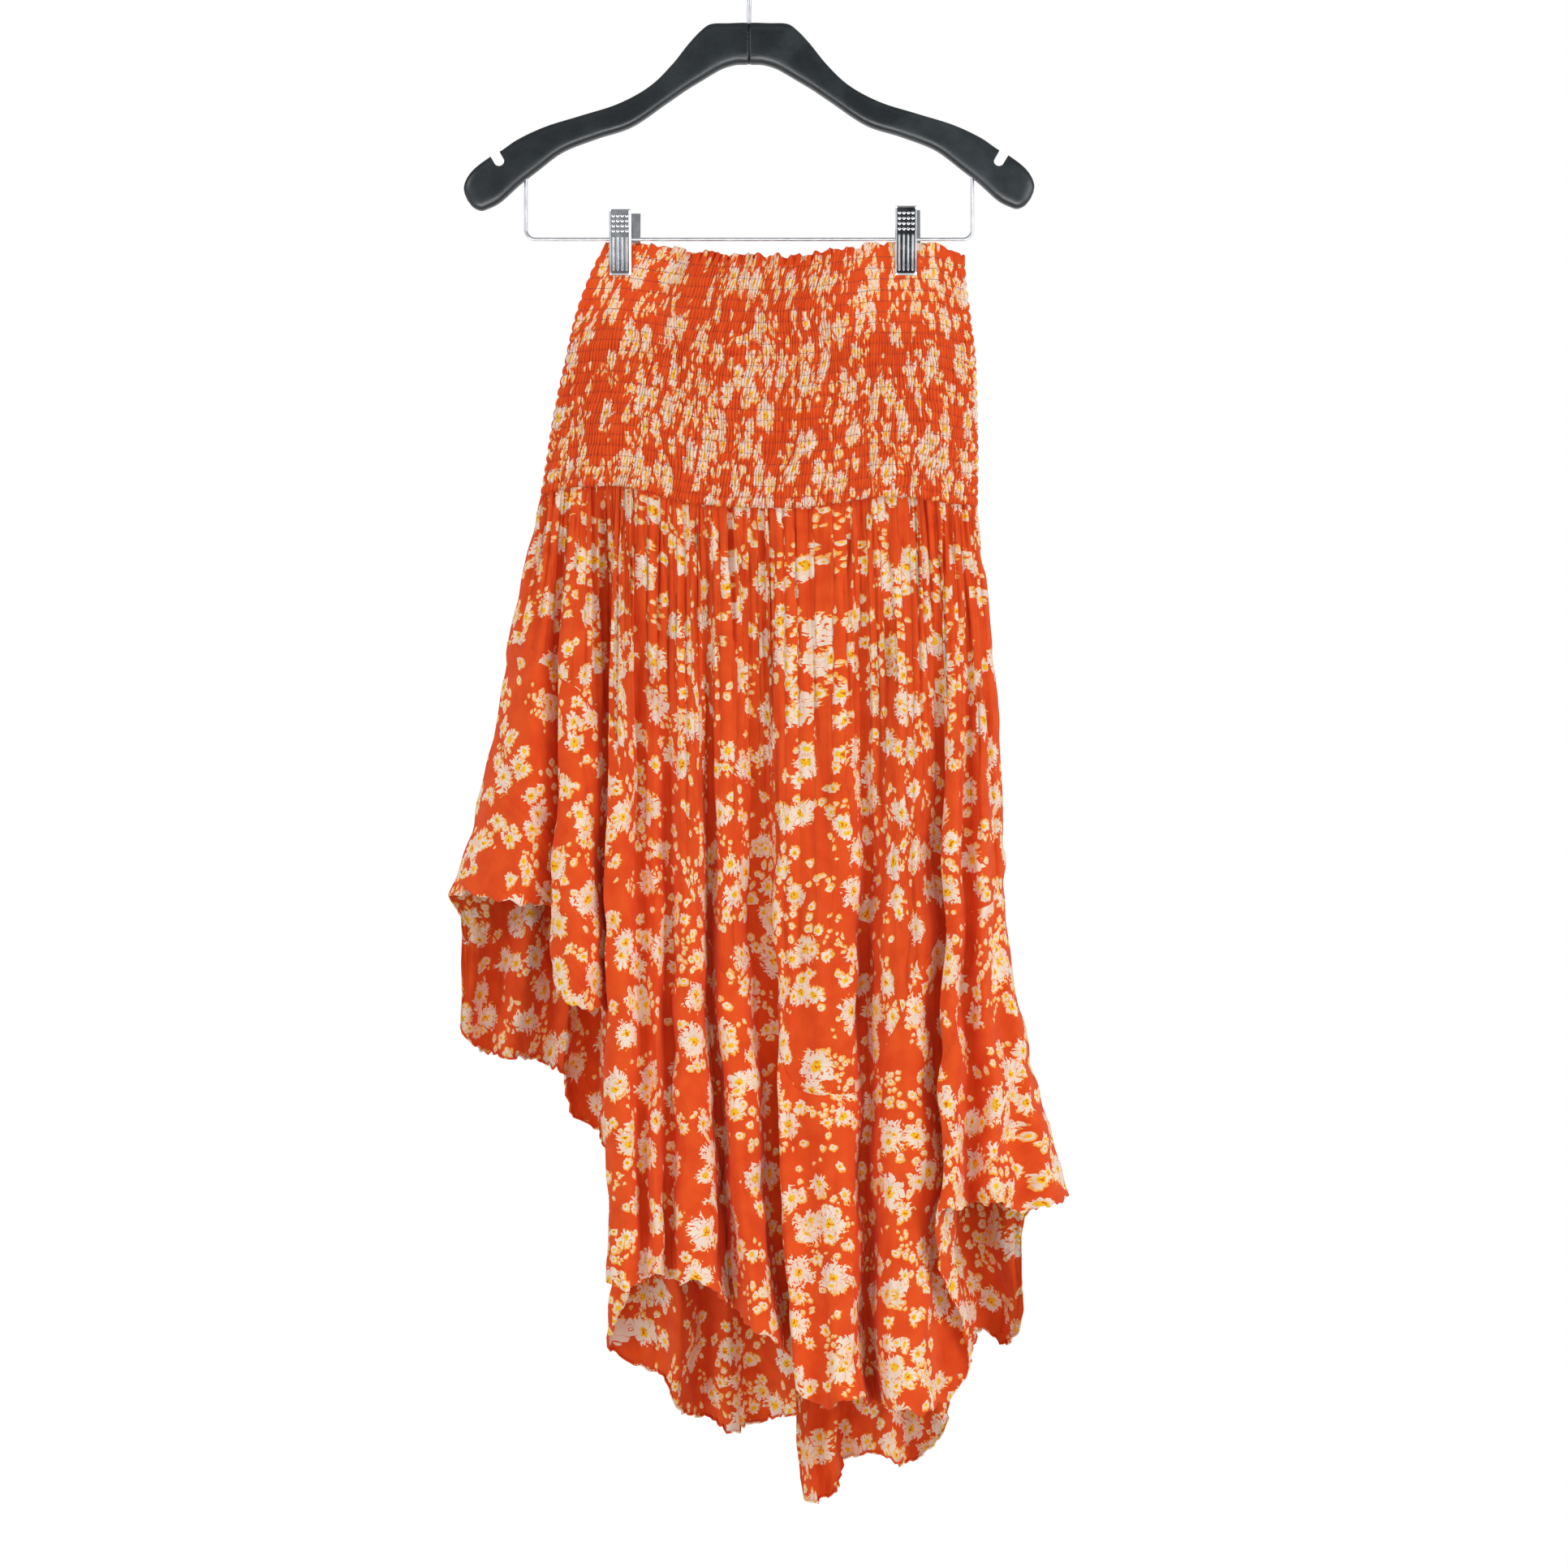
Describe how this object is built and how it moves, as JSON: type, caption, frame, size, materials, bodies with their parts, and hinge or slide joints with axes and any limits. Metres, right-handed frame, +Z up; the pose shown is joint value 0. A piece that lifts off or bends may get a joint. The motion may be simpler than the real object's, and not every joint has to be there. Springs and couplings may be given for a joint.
{
  "type": "convertible skirt on clip hanger",
  "caption": "Long printed skirt with a shirred yoke, gathered skirt and slanted flounce, hanging from a hanger by its clips.",
  "frame": {"origin": "inside of the hook's crown, where a rail carries it", "axes": "+Z up, the skirt's front faces -Y, +X is to the right of someone who looks at the front"},
  "size_m": [0.458, 0.14, 1.199],
  "materials": {
    "skirt_cloth": "matt rayon crepe, orange red with white daisies",
    "hanger_wrap": "satin charcoal wrap",
    "chromed_wire": "polished",
    "clip_metal": "polished"
  },
  "bodies": {
    "root": {"yoke_front": "skirt_cloth", "yoke_back": "skirt_cloth", "skirt_front": "skirt_cloth", "skirt_back": "skirt_cloth", "flounce_front": "skirt_cloth", "flounce_back": "skirt_cloth", "hanger_arm_left": "hanger_wrap", "hanger_arm_right": "hanger_wrap", "hook": "chromed_wire", "bar": "chromed_wire", "clip_left_front": "clip_metal", "clip_left_back": "clip_metal", "clip_left_spring": "chromed_wire", "clip_right_front": "clip_metal", "clip_right_back": "clip_metal", "clip_right_spring": "chromed_wire"}
  },
  "joints": []
}
